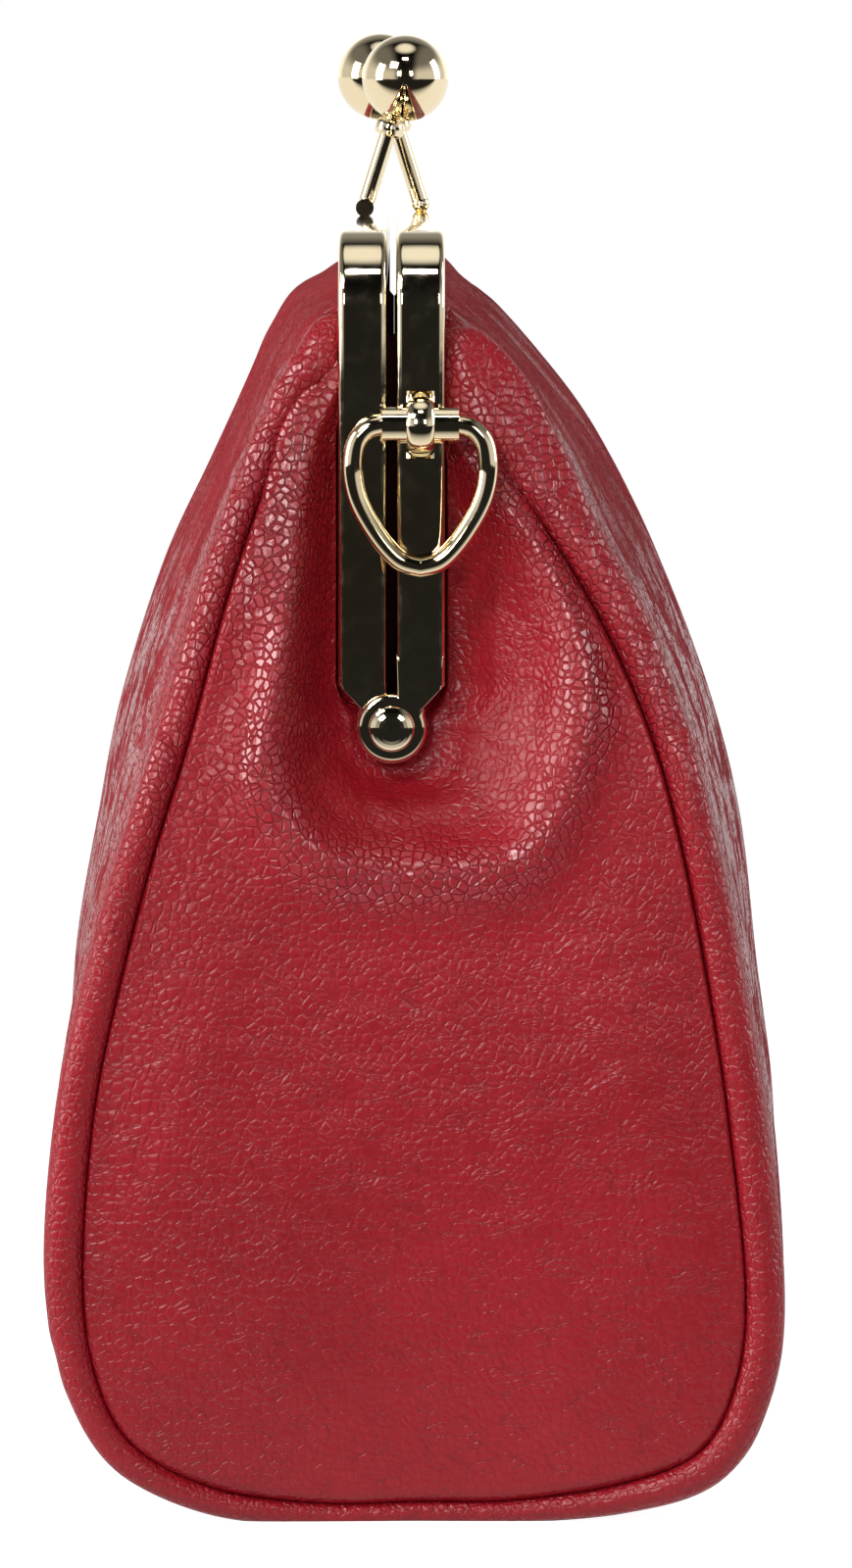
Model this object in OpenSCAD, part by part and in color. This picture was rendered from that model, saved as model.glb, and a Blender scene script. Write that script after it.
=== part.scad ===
// Kiss-lock frame purse: leather pouch, two hinged channel frames, crossing clasp balls, strap rings.
// Millimetres. The origin is the middle of the base on the table, +X the long way, +Z up.
// The front is at -Y. The strap rings hang from the rear frame.

/* [Pouch] */
// How far the pouch stands beyond the frame at each end
end_overhang = 12; // [9:0.5:15]
// Depth of the pouch at its widest
pouch_depth = 94.4; // [86:0.2:104]
// Height from the table to the top of the frame
pouch_height = 164.5; // [156:0.5:180]
// Thickness of the leather
leather = 1.1; // [0.9:0.05:1.2]
// Width of the soft roll of leather beside each end seam
seam_roll = 5; // [4.6:0.1:5.6]
// Depth of the seam allowance that is turned into the pouch
seam_turn = 4; // [3:0.5:6]
// How far each end piece swells beyond its seam
end_swell = 6; // [4:0.5:8]
// How far the frame stands in front of the middle of the base
frame_offset = 3.3; // [0:0.1:5]

/* [Frame] */
// Length of the frame over its legs
frame_length = 190; // [170:1:192]
// Height of the frame top above the hinge
frame_drop = 63.4; // [58:0.2:70]
// Width of one channel across its face
channel_width = 6.2; // [6:0.1:7]
// Depth of the channel from its face
channel_depth = 7; // [6.5:0.1:8]
// Thickness of the frame's sheet metal
sheet = 0.8; // [0.7:0.05:0.9]
// Gap between the closed halves
frame_gap = 1.2; // [0.8:0.1:1.6]
// Outside radius of the frame's corners
corner_radius = 10; // [9:0.5:12]
// Radius of the channel's rolled outer edges
edge_radius = 0.9; // [0.5:0.05:1.1]
// Play between the leather and the metal
tuck_gap = 0.15; // [0.1:0.01:0.2]

/* [Hinge] */
// Radius of the round end of each leg
lobe_radius = 4.5; // [4:0.1:4.8]
// Drop from the channel's cut end to the hinge axis
channel_stop = 5.5; // [5.2:0.1:7]
// Diameter of the rivet's shank
rivet_d = 2.8; // [2.2:0.1:3.2]
// Diameter of the rivet's head
rivet_head_d = 5.9; // [5:0.1:7]
// Height of the rivet's domed head
rivet_head_h = 1.2; // [0.8:0.1:1.6]
// Outside diameter of the washer
washer_d = 5.4; // [4.8:0.1:6]
// Thickness of the washer
washer_t = 0.5; // [0.4:0.05:0.7]
// Running play around the rivet and between the hinge plates
hinge_play = 0.08; // [0.05:0.01:0.1]
// Tightness of the pressed and brazed joints
press = 0.02; // [0.01:0.01:0.03]

/* [Clasp] */
// Diameter of each ball
ball_d = 11.5; // [9:0.1:13]
// Height of the ball's middle above the frame
ball_rise = 18; // [16:0.5:20]
// How far each ball crosses the frame's middle plane
ball_cross = 1.65; // [1:0.05:2.5]
// Gap between the balls as they pass
ball_gap = 0.2; // [0.1:0.05:0.4]
// Diameter of the stem's wire
stem_d = 2.2; // [1.8:0.1:2.6]
// Diameter of the stem's foot along the rail
foot_d = 2.4; // [2:0.1:2.8]
// Length of the foot
foot_length = 10; // [7:0.5:16]
// Depth of the braze between the foot and the rail
braze = 0.15; // [0.1:0.05:0.25]
// Diameter of the collar under the ball
collar_d = 4; // [3.4:0.1:4.6]
// Height of the collar
collar_h = 2.2; // [1.6:0.1:2.6]

/* [Strap rings] */
// Drop from the frame top to the ring's barrel
barrel_drop = 24.5; // [20:0.5:27]
// Diameter of the barrel
barrel_d = 4.8; // [4.4:0.1:5.4]
// Length of the barrel
barrel_length = 9.8; // [8.6:0.1:10.4]
// Diameter of the ring's wire
wire_d = 2.8; // [2.2:0.1:3.2]
// Width of the ring between the middles of its wire
ring_width = 17.2; // [16.8:0.1:20]
// Length of the ring's straight sides, from the barrel to the corners
ring_side = 9.9; // [8.5:0.1:12]
// Depth of the ring from the barrel to the tip of its wedge
ring_depth = 20.6; // [20:0.1:24]
// Width of the lug
lug_width = 3.5; // [2.6:0.1:4]
// Thickness of the lug's strap
lug_sheet = 0.9; // [0.7:0.05:1.1]
// Running play of the barrel in its lug, and of the barrel off the frame
barrel_play = 0.08; // [0.05:0.01:0.1]

/* [Inside] */
// Thickness of the lining
lining = 0.4; // [0.3:0.05:0.6]
// Space between the leather and the lining
lining_space = 2.4; // [2:0.1:3]
// Thickness of the base board
board_t = 1.5; // [1:0.1:1.6]
// Distance from the base board to the ends of the pouch
board_inset = 16; // [14:0.5:30]
// Width of the base board across the pouch
board_width = 39; // [34:0.5:40]
// Diameter of the cord in the channel
cord_d = 2.2; // [1.8:0.1:2.3]

/* [Hidden] */
$fn = 48;
FRONT = -1;
REAR = 1;
RED = [0.6, 0.14, 0.18];
GOLD = [0.87, 0.78, 0.58];
STRAW = [0.76, 0.66, 0.48];
CLOTH = [0.32, 0.1, 0.12];
BOARD = [0.45, 0.36, 0.26];

half_depth = pouch_depth / 2;
frame_end = frame_length / 2;
pouch_end = frame_end + end_overhang;
hinge_z = pouch_height - frame_drop;
rail_under = pouch_height - channel_depth;
leg_in = frame_gap / 2;
leg_out = leg_in + channel_width;
leg_mid = leg_in + channel_width / 2;
channel_mouth = frame_end - channel_depth;
leather_side = leg_out + 2.6 * tuck_gap;
tuck_side = leg_out - sheet - tuck_gap;
rivet_r = rivet_d / 2;
plate_gap = hinge_play + 0.02;
plate_in = frame_end - sheet - plate_gap;
washer_x = plate_in - sheet - plate_gap;
barrel_z = pouch_height - barrel_drop;
barrel_x = frame_end + barrel_d / 2 + 0.3;
lug_in = barrel_d / 2 + barrel_play;
lug_out = lug_in + lug_sheet;
lining_side = tuck_side - leather - 0.1;
cord_side = lining_side - lining - cord_d / 2 - 0.1;

// Outline of the end seam: share of the depth, share of the height, share of the length, share of the roll
SEAM = [
    [0, 0.019, 0.85, 0.6], [0.27, 0.02, 0.88, 0.64], [0.665, 0.05, 0.94, 0.84], [0.83, 0.111, 1, 1],
    [0.875, 0.197, 1, 1], [0.8425, 0.292, 1, 1.04], [0.725, 0.4825, 0.95, 1.04],
    [0.5975, 0.597, 0.8, 1], [0.43, 0.73, 0.55, 1], [0.2575, 0.8254, 0.3, 0.9],
    [0.0575, 0.895, 0.1, 0.72], [0, 0.94, 0, 0.6], [0, 0.984, -0.5, 0.56]
];
// Outline of the pouch at the middle of its length: share of the depth, share of the height
BELLY = [
    [0, 0], [0.32, 0], [0.77, 0.0286], [0.95, 0.095], [1, 0.203], [0.99, 0.3175], [0.9175, 0.4825],
    [0.82, 0.603], [0.6825, 0.724], [0.4825, 0.838], [0.3075, 0.924], [0.1725, 0.969], [0.03, 0.9965]
];
TOP = len(SEAM) - 1;
GUSSET_TOP = TOP - 2;
HINGE_TURN = 6;
// End piece from its seam to its slit: share of the way to the fold, swell of the fold, swell below it
FOLD = [
    [0.88, 0.95, 0.45], [0.87, 0.95, 0.45], [0.86, 0.92, 0.42], [0.82, 0.85, 0.4], [0.78, 0.75, 0.35],
    [0.74, 0.65, 0.25], [0.66, 0.6, 0.15], [0.55, 0.5, 0.08], [0.48, 0.45, 0], [0.42, 0.35, 0],
    [0.38, 0.15, 0]
];

function smooth(t) = let (c = min(max(t, 0), 1)) c * c * (3 - 2 * c);
function unit(v) = v / max(norm(v), 1e-9);
function steps(a, b, n) = [for (k = [0:n]) a + (b - a) * k / n];

// Smooth curve through the points of a list, at place t along it
function along(l, t) =
    let (
        n = len(l) - 1,
        i = min(floor(t), n - 1),
        f = t - i,
        p = l[max(i - 1, 0)],
        q = l[i],
        r = l[i + 1],
        s = l[min(i + 2, n)]
    )
    0.5 * (2 * q + (r - p) * f + (2 * p - 5 * q + 4 * r - s) * f * f
        + (3 * q - p - 3 * r + s) * f * f * f);

function share_of_depth(f, u) = (leather_side + (half_depth - leather_side) * f) * min(u, 1);
function seam(u) = let (s = along(SEAM, u)) [share_of_depth(s[0], u), rail_under * s[1]];
function seam_out(u) = let (d = unit(seam(min(u + 0.05, TOP)) - seam(max(u - 0.05, 0)))) [d[1], -d[0]];
function seam_x(u) =
    let (s = along(SEAM, u), leg = frame_end - channel_depth * 0.7)
    leg + (pouch_end - end_swell * 0.83 - leg) * s[2];
function roll(u) = max(seam_roll * along(SEAM, u)[3], 2.4 * leather);
function belly(u) = let (b = along(BELLY, u)) [share_of_depth(b[0], u), max(rail_under * b[1], 0)];
function lean(z) = -frame_offset * smooth((z - hinge_z) / (frame_drop * 0.58) - 0.1);

// One panel, u from the middle of the base up to the rail, w from the middle of its length to its seam.
// It swells in the middle, rolls over beside the seam, and turns in as the seam allowance.
ROLL_AT = 0.72;
TURN_AT = 0.94;
function panel_flat(u, w) =
    let (
        g = seam(u) + seam_out(u) * roll(u),
        m = belly(u),
        b = 1 - pow(min(w / ROLL_AT, 1), 2)
    )
    [seam_x(u) * min(w / ROLL_AT, 1), g[0] + (m[0] - g[0]) * b, max(g[1] + (m[1] - g[1]) * b, 0)];
function panel_edge(u, w) =
    let (
        g = seam(u),
        n = seam_out(u),
        turn = 180 * (min(w, TURN_AT) - ROLL_AT) / (TURN_AT - ROLL_AT),
        o = roll(u) / 2 * (1 + cos(turn)),
        deep = seam_turn * max(w - TURN_AT, 0) / (1 - TURN_AT)
    )
    [seam_x(u) + roll(u) / 2 * sin(turn) - deep, g[0] + n[0] * o, max(g[1] + n[1] * o, 0)];
function panel_top(u, w) =
    let (m = belly(u), over = max(w - ROLL_AT, 0) / (1 - ROLL_AT))
    [seam_x(u) * min(w / ROLL_AT, 1) + channel_depth * 0.28 * over, m[0], m[1]];
function panel_point(u, w) =
    let (p = w <= ROLL_AT ? panel_flat(u, w) : panel_edge(u, w), s = smooth((u - TOP + 1.8) / 1.8))
    p * (1 - s) + panel_top(u, w) * s;
PANEL_HALF = concat(steps(0, ROLL_AT, 6), [for (k = [1:6]) ROLL_AT + (TURN_AT - ROLL_AT) * k / 6], [1]);
PANEL_ACROSS = concat(
    [for (k = [len(PANEL_HALF) - 1:-1:1]) -PANEL_HALF[k]],
    PANEL_HALF
);
// The panel's top edge turns under the rail's wall and up into the channel
PANEL_TUCK = [
    [(leg_out + tuck_side) / 2, -4 * tuck_gap], [tuck_side, -1.4 * tuck_gap], [tuck_side, channel_depth * 0.5]
];
PANEL = concat(
    [for (u = steps(0, TOP, 24))
        [for (w = PANEL_ACROSS)
            let (p = panel_point(u, abs(w))) [sign(w) * p[0], p[1], p[2]]]],
    [for (t = PANEL_TUCK)
        [for (w = PANEL_ACROSS) [sign(w) * panel_top(TOP, abs(w))[0], t[0], rail_under + t[1]]]]
);

// One end piece, s along its seam from rear to front, q from the seam allowance to the slit in the frame
GUSSET_EDGE = seam_roll / 2;
function slit_out(s) =
    let (a = min(abs(s), HINGE_TURN) * 90 / HINGE_TURN) [sign(s) * sin(a), -cos(a)];
function slit_mid(s) =
    let (up = max(abs(s) - HINGE_TURN, 0) / (GUSSET_TOP - HINGE_TURN))
    [0, hinge_z + up * (rail_under * SEAM[GUSSET_TOP][1] - 1 - hinge_z)];
function slit(s) = slit_mid(s) + slit_out(s) * leather_side;
function gusset_seam(s) = let (g = seam(abs(s))) [sign(s) * g[0], g[1]];
function gusset_swell(s, f) =
    let (
        fold = along(FOLD, abs(s)),
        full = seam_x(abs(s)) + end_swell * 0.35,
        ridge = seam_x(abs(s)) + end_swell * fold[1],
        down = max(f - fold[0], 0) / (1 - fold[0]),
        up = min(f / fold[0], 1)
    )
    full + (ridge - full) * sin(90 * up) + end_swell * fold[2] * sin(180 * up)
        + (channel_mouth + channel_depth * 0.29 - ridge) * (1 - cos(180 * down)) / 2;
GUSSET_TURN = [[0, -1], [0, 0], [0.3, 0.7], [1, 1]];
GUSSET_FACE = [0.1, 0.22, 0.35, 0.5, 0.65, 0.78, 0.9, 1];
// The slit's edge turns round the channel's wall and back into the channel
GUSSET_TUCK = [
    [leather_side, 2 * tuck_gap], [leg_out + tuck_gap, -2 * tuck_gap],
    [(leg_out + tuck_side) / 2, -3 * tuck_gap], [tuck_side + 0.6 * tuck_gap, -1.7 * tuck_gap],
    [tuck_side, 2 * tuck_gap], [tuck_side, channel_depth * 0.48]
];
function gusset_face(s, f) =
    let (
        a = gusset_seam(s),
        b = slit(s),
        edge = min(GUSSET_EDGE / norm(b - a), 0.3),
        p = a + (b - a) * (edge + (1 - edge) * f)
    )
    [gusset_swell(s, f), p[0], p[1]];
function gusset_turn(s, t) =
    let (
        a = gusset_seam(s),
        b = slit(s),
        edge = min(GUSSET_EDGE / norm(b - a), 0.3),
        p = a + (b - a) * edge * t[0]
    )
    [seam_x(abs(s)) + (t[1] < 0 ? seam_turn * t[1] : end_swell * 0.35 * t[1]), p[0], p[1]];
function gusset_tuck(s, t) =
    let (p = slit_mid(s) + slit_out(s) * t[0]) [channel_mouth + t[1], p[0], p[1]];
GUSSET_ALONG = steps(GUSSET_TOP, -GUSSET_TOP, 40);
GUSSET = concat(
    [for (t = GUSSET_TURN) [for (s = GUSSET_ALONG) gusset_turn(s, t)]],
    [for (f = GUSSET_FACE) [for (s = GUSSET_ALONG) gusset_face(s, f)]],
    [for (t = GUSSET_TUCK) [for (s = GUSSET_ALONG) gusset_tuck(s, t)]]
);
// The end piece follows the pouch at its seam and the frame at its slit
function gusset_lean(i, z) =
    let (k = smooth((i - 3) / len(GUSSET_FACE))) lean(z) * (1 - k) - frame_offset * k;

// One half of the lining, from the middle of the base up into the channel, by depth, height and length
LINING = [
    [0, 0.021, 0.7], [0.6, 0.021, 0.76], [0.84, 0.06, 0.92], [0.9, 0.2, 1], [0.87, 0.36, 0.92],
    [0.76, 0.5, 0.76], [0.62, 0.6, 0.03], [0.46, 0.72, 0], [0.3, 0.82, 0], [0.15, 0.9, 0], [0.03, 0.955, 0]
];
LINING_TOP = len(LINING) - 1;
LINING_TUCK = [-0.23 * channel_depth, 0.06 * channel_depth, 0.5 * channel_depth];
function lining_point(u, h) =
    let (
        l = along(LINING, u),
        a = pow(abs(cos(90 * h)), 0.5) * (lining_side * min(u, 1) + (half_depth - leather_side) * l[0]),
        z = max(rail_under * l[1], leather + lining_space) + lining * min(u, 1),
        leg = channel_mouth - channel_depth * 0.72,
        x = leg + (pouch_end - seam_turn - end_swell - leg) * l[2]
    )
    [sign(h) * pow(abs(sin(90 * h)), 0.5) * x, max(a, 0.02), z];
LINING_ACROSS = steps(-1, 1, 18);
LINING_HALF = concat(
    [for (u = steps(0, LINING_TOP, 18)) [for (h = LINING_ACROSS) lining_point(u, h)]],
    [for (z = LINING_TUCK)
        [for (h = LINING_ACROSS)
            [lining_point(LINING_TOP, h)[0], lining_side, rail_under + z]]]
);

// Thick sheet between a grid of points and the same grid moved inwards
function grid_out(g, i, j) =
    let (n = len(g) - 1, m = len(g[0]) - 1)
    unit(cross(g[min(i + 1, n)][j] - g[max(i - 1, 0)][j], g[i][min(j + 1, m)] - g[i][max(j - 1, 0)]));
function backed(g, t) =
    [for (i = [0:len(g) - 1]) [for (j = [0:len(g[0]) - 1]) g[i][j] - t * grid_out(g, i, j)]];
function sided(g, side) =
    [for (r = g) [for (p = r) [p[0], side * max(p[1], 0.02) + lean(p[2]), p[2]]]];
function tri(a, b, c, d, turned) = turned ? [[a, b, c], [a, c, d]] : [[a, c, b], [a, d, c]];

module skin(face, back, turned) {
    n = len(face);
    m = len(face[0]);
    b = n * m;
    grid = [for (i = [0:n - 2]) for (j = [0:m - 2]) [i * m + j, (i + 1) * m + j]];
    long = (n - 1) * m;
    polyhedron(
        points = concat([for (r = face) each r], [for (r = back) each r]),
        faces = concat(
            [for (q = grid) each tri(q[0], q[1], q[1] + 1, q[0] + 1, turned)],
            [for (q = grid) each tri(b + q[0], b + q[0] + 1, b + q[1] + 1, b + q[1], turned)],
            [for (j = [0:m - 2]) each tri(j, j + 1, b + j + 1, b + j, turned)],
            [for (j = [0:m - 2])
                each tri(long + j + 1, long + j, b + long + j, b + long + j + 1, turned)],
            [for (i = [0:n - 2]) each tri((i + 1) * m, i * m, b + i * m, b + (i + 1) * m, turned)],
            [for (i = [1:n - 1])
                each tri(i * m - 1, (i + 1) * m - 1, b + (i + 1) * m - 1, b + i * m - 1, turned)]
        )
    );
}

module panel(side) {
    color(RED) skin(sided(PANEL, side), sided(backed(PANEL, leather), side), side == FRONT);
}

module gusset() {
    back = backed(GUSSET, leather);
    last = len(GUSSET) - 1;
    color(RED) skin(
        [for (i = [0:last]) [for (p = GUSSET[i]) p + [0, gusset_lean(i, p[2]), 0]]],
        [for (i = [0:last]) [for (j = [0:len(back[i]) - 1])
            back[i][j] + [0, gusset_lean(i, GUSSET[i][j][2]), 0]]],
        false
    );
}

module lining_half(side) {
    color(CLOTH)
        skin(sided(LINING_HALF, side), sided(backed(LINING_HALF, lining), side), side == FRONT);
}

module front_panel() {
    panel(FRONT);
}

module rear_panel() {
    panel(REAR);
}

module right_gusset() {
    gusset();
}

module left_gusset() {
    mirror([1, 0, 0]) gusset();
}

module front_lining() {
    lining_half(FRONT);
}

module rear_lining() {
    lining_half(REAR);
}

// Plate that keeps the base flat, with rounded corners
module base_board() {
    r = board_width / 4;
    x = pouch_end - board_inset;
    y = board_width / 2;
    color(BOARD) translate([0, 0, leather + tuck_gap]) linear_extrude(board_t) {
        square([2 * x, 2 * (y - r)], center = true);
        square([2 * (x - r), 2 * y], center = true);
        for (sx = [-1, 1], sy = [-1, 1]) translate([sx * (x - r), sy * (y - r)]) circle(r);
    }
}

// Section of the channel: across from the frame's middle plane, then in from its face
function edge_arc(x, y, from) =
    [for (k = [0:6]) [x + edge_radius * cos(from + 15 * k), y + edge_radius * sin(from + 15 * k)]];
CHANNEL = concat(
    edge_arc(leg_in + edge_radius, edge_radius, 180),
    edge_arc(leg_out - edge_radius, edge_radius, 270),
    [
        [leg_out, channel_depth], [leg_out - sheet, channel_depth], [leg_out - sheet, sheet],
        [leg_in + sheet, sheet], [leg_in + sheet, channel_depth], [leg_in, channel_depth]
    ]
);

// Rail, two corners and two legs of one channel, drawn for the rear half
module channel_run() {
    rail = frame_end - corner_radius;
    leg_foot = hinge_z + channel_stop;
    translate([-rail, 0, pouch_height]) rotate([90, 0, 90]) linear_extrude(2 * rail)
        polygon([for (p = CHANNEL) [p[0], -p[1]]]);
    for (end = [0, 1]) mirror([end, 0, 0]) {
        translate([frame_end, 0, leg_foot]) linear_extrude(pouch_height - corner_radius - leg_foot)
            polygon([for (p = CHANNEL) [-p[1], p[0]]]);
        translate([rail, 0, pouch_height - corner_radius]) rotate([90, 0, 0]) mirror([0, 0, 1])
            rotate_extrude(angle = 90)
                polygon([for (p = CHANNEL) [corner_radius - p[1], p[0]]]);
    }
}

// Flat end of a leg, in the plane of the hinge, with the rivet's hole
module hinge_plate(hole, up) {
    step = lobe_radius * 0.94;
    difference() {
        union() {
            translate([0, hinge_z]) circle(lobe_radius);
            polygon([
                [leg_in, hinge_z], [step, hinge_z], [step, hinge_z + 2.6], [leg_out, hinge_z + channel_stop],
                [leg_out, hinge_z + channel_stop + up], [leg_in, hinge_z + channel_stop + up]
            ]);
        }
        translate([0, hinge_z]) circle(hole);
    }
}

module plate_at(x) {
    translate([x, 0, 0]) rotate([90, 0, 90]) linear_extrude(sheet) children();
}

module on_frame(side) {
    translate([0, -frame_offset, 0]) mirror([0, side == FRONT ? 1 : 0, 0]) children();
}

// The front hinge plate is set back behind the rear one, and a joggle joins it to the channel's web
module front_frame() {
    join = hinge_z + channel_stop + 0.6;
    color(GOLD) on_frame(FRONT) {
        channel_run();
        for (end = [0, 1]) mirror([end, 0, 0]) {
            plate_at(plate_in - sheet) hinge_plate(rivet_r + hinge_play, 5);
            translate([plate_in - sheet, leg_in, join])
                cube([sheet + plate_gap + sheet / 2, channel_width, 4]);
        }
    }
}

module rear_frame() {
    slot = lug_width + 2 * press;
    color(GOLD) on_frame(REAR) difference() {
        union() {
            channel_run();
            for (end = [0, 1]) mirror([end, 0, 0])
                plate_at(frame_end - sheet) hinge_plate(rivet_r, 0.4);
        }
        for (end = [0, 1], up = [-1, 1]) mirror([end, 0, 0])
            translate([frame_end, leg_mid, barrel_z + up * (lug_in + lug_out) / 2])
                cube([4 * sheet, slot, lug_sheet + 2 * press], center = true);
    }
}

// Cord along the channel, beside the lining and against the inner wall
module frame_cord() {
    deep = sheet + 1 + cord_d / 2;
    bend = corner_radius - deep;
    rail = frame_end - corner_radius;
    foot = hinge_z + channel_stop + channel_depth;
    translate([-rail, cord_side, pouch_height - deep]) rotate([0, 90, 0])
        cylinder(h = 2 * rail, d = cord_d);
    for (end = [0, 1]) mirror([end, 0, 0]) {
        translate([frame_end - deep, cord_side, foot])
            cylinder(h = pouch_height - corner_radius - foot, d = cord_d);
        translate([rail, cord_side, pouch_height - corner_radius]) rotate([90, 0, 0])
            rotate_extrude(angle = 90) translate([bend, 0]) circle(d = cord_d);
    }
}

module front_frame_cord() {
    color(STRAW) on_frame(FRONT) frame_cord();
}

module rear_frame_cord() {
    color(STRAW) on_frame(REAR) frame_cord();
}

// Rivet turned on the hinge axis: closed end, shank, domed head
module rivet() {
    head_r = rivet_head_d / 2;
    tail = washer_x - washer_t;
    dome = [for (t = steps(0, 90, 8)) [head_r * cos(t), frame_end + rivet_head_h * (0.3 + 0.7 * sin(t))]];
    profile = concat(
        [
            [0, tail - 0.6], [rivet_r + 0.5, tail - 0.6], [rivet_r + 0.6, tail], [rivet_r, tail],
            [rivet_r, plate_in], [rivet_r + press, plate_in + plate_gap],
            [rivet_r + press, frame_end], [head_r, frame_end]
        ],
        [for (k = [0:7]) dome[k]],
        [[0, frame_end + rivet_head_h]]
    );
    color(GOLD) translate([0, -frame_offset, hinge_z]) rotate([0, 90, 0]) rotate_extrude() polygon(profile);
}

module hinge_rivet_right() {
    rivet();
}

module hinge_rivet_left() {
    mirror([1, 0, 0]) rivet();
}

module washer() {
    color(GOLD) translate([washer_x - washer_t, -frame_offset, hinge_z]) rotate([0, 90, 0]) difference() {
        cylinder(h = washer_t, d = washer_d);
        translate([0, 0, -1]) cylinder(h = washer_t + 2, d = rivet_d);
    }
}

module rivet_washer_right() {
    washer();
}

module rivet_washer_left() {
    mirror([1, 0, 0]) washer();
}

// Each clasp is drawn for the rear half: its ball crosses to the front, beside the other ball
ball_x = -(ball_d + ball_gap) / 2;
foot_z = pouch_height + foot_d / 2 - braze;
lean_y = -ball_cross - leg_mid;
lean_z = pouch_height + ball_rise - foot_z;
stem_length = norm([lean_y, lean_z]);
stem_angle = atan2(-lean_y, lean_z);

module on_rail(side) {
    translate([0, -frame_offset, 0]) rotate([0, 0, side == FRONT ? 180 : 0])
        translate([ball_x, leg_mid, foot_z]) children();
}

module on_stem(side) {
    on_rail(side) rotate([stem_angle, 0, 0]) children();
}

module clasp_stem(side) {
    color(GOLD) {
        on_stem(side) cylinder(h = stem_length, d = stem_d);
        on_rail(side) sphere(d = foot_d);
        on_rail(side) rotate([0, -90, 0]) cylinder(h = foot_length, d = foot_d);
    }
}

module front_clasp_stem() {
    clasp_stem(FRONT);
}

module rear_clasp_stem() {
    clasp_stem(REAR);
}

// Turned bead, pressed on the stem just under the ball
module ball_collar(side) {
    r = collar_d / 2;
    bore = stem_d / 2 - press;
    half = collar_h / 2;
    round = [for (k = [-4:4]) [r - half * 0.6 * (1 - cos(k * 22.5)), half * sin(k * 22.5)]];
    color(GOLD) on_stem(side) translate([0, 0, stem_length - ball_d / 2 - half - 0.05])
        rotate_extrude() polygon(concat([[bore, -half]], round, [[bore, half]]));
}

module front_ball_collar() {
    ball_collar(FRONT);
}

module rear_ball_collar() {
    ball_collar(REAR);
}

module clasp_ball(side) {
    color(GOLD) on_stem(side) difference() {
        translate([0, 0, stem_length]) sphere(d = ball_d);
        translate([0, 0, stem_length - ball_d]) cylinder(h = ball_d, d = stem_d - 2 * press);
    }
}

module front_clasp_ball() {
    clasp_ball(FRONT);
}

module rear_clasp_ball() {
    clasp_ball(REAR);
}

// Loop of strap over the barrel, with its two tabs clinched behind the leg's web
module ring_lug() {
    back = frame_end - sheet - 0.9;
    color(GOLD) on_frame(REAR) translate([0, leg_mid + lug_width / 2, barrel_z]) rotate([90, 0, 0])
        linear_extrude(lug_width) {
            difference() {
                translate([barrel_x, 0]) circle(lug_out);
                translate([barrel_x, 0]) circle(lug_in);
                translate([barrel_x - 2 * lug_out, -lug_out]) square([2 * lug_out, 2 * lug_out]);
            }
            for (up = [0, 1]) mirror([0, up]) {
                translate([back, lug_in]) square([barrel_x - back, lug_sheet]);
                translate([frame_end, lug_in]) square([0.7, lug_sheet + 0.6]);
                translate([back, lug_in]) square([0.8, lug_sheet + 0.6]);
            }
        }
}

module ring_lug_right() {
    ring_lug();
}

module ring_lug_left() {
    mirror([1, 0, 0]) ring_lug();
}

module ring_barrel() {
    color(GOLD) on_frame(REAR) translate([barrel_x, leg_mid - barrel_length / 2, barrel_z])
        rotate([-90, 0, 0]) difference() {
            cylinder(h = barrel_length, d = barrel_d);
            translate([0, 0, -1]) cylinder(h = barrel_length + 2, d = wire_d - 2 * press);
        }
}

module ring_barrel_right() {
    ring_barrel();
}

module ring_barrel_left() {
    mirror([1, 0, 0]) ring_barrel();
}

// Bent wire in the plane of the ring: places across from the barrel's middle, then down,
// each with the direction in which the wire's outer side faces
ring_half = ring_width / 2;
shoulder = ring_half - barrel_length / 2 - 0.1;
corner = 3.5;
tip = 5.7;
wedge = atan2(ring_half, ring_depth - ring_side);
function bend(mid, r, from, to, n) = [for (a = steps(from, to, n)) [mid + r * [cos(a), sin(a)], a]];
RING_SIDE = concat(
    [[[barrel_length / 2 - 2.4, 0], -90]],
    bend([ring_half - shoulder, shoulder], shoulder, -90, 0, 6),
    bend([ring_half - corner, ring_side - corner * tan(wedge / 2)], corner, 0, wedge, 4)
);
RING_PATH = concat(
    RING_SIDE,
    bend([0, ring_depth - tip / sin(wedge)], tip, wedge, 180 - wedge, 8),
    [for (k = [len(RING_SIDE) - 1:-1:0])
        let (s = RING_SIDE[k]) [[-s[0][0], s[0][1]], 180 - s[1]]]
);
RING_ROUND = 16;

module ring_wire() {
    last = len(RING_PATH) - 1;
    polyhedron(
        points = [for (s = RING_PATH) for (k = [0:RING_ROUND - 1])
            let (t = k * 360 / RING_ROUND, r = wire_d / 2, o = r * cos(t) * [cos(s[1]), sin(s[1])])
            [s[0][0] + o[0], s[0][1] + o[1], r * sin(t)]],
        faces = concat(
            [for (i = [0:last - 1]) for (k = [0:RING_ROUND - 1])
                let (a = i * RING_ROUND, n = (k + 1) % RING_ROUND)
                each tri(a + k, a + n, a + n + RING_ROUND, a + k + RING_ROUND, true)],
            [[for (k = [RING_ROUND - 1:-1:0]) k]],
            [[for (k = [0:RING_ROUND - 1]) last * RING_ROUND + k]]
        )
    );
}

module strap_ring() {
    color(GOLD) on_frame(REAR) translate([barrel_x, leg_mid, barrel_z])
        rotate([0, 0, 90]) rotate([-90, 0, 0]) ring_wire();
}

module strap_ring_right() {
    strap_ring();
}

module strap_ring_left() {
    mirror([1, 0, 0]) strap_ring();
}

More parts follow.
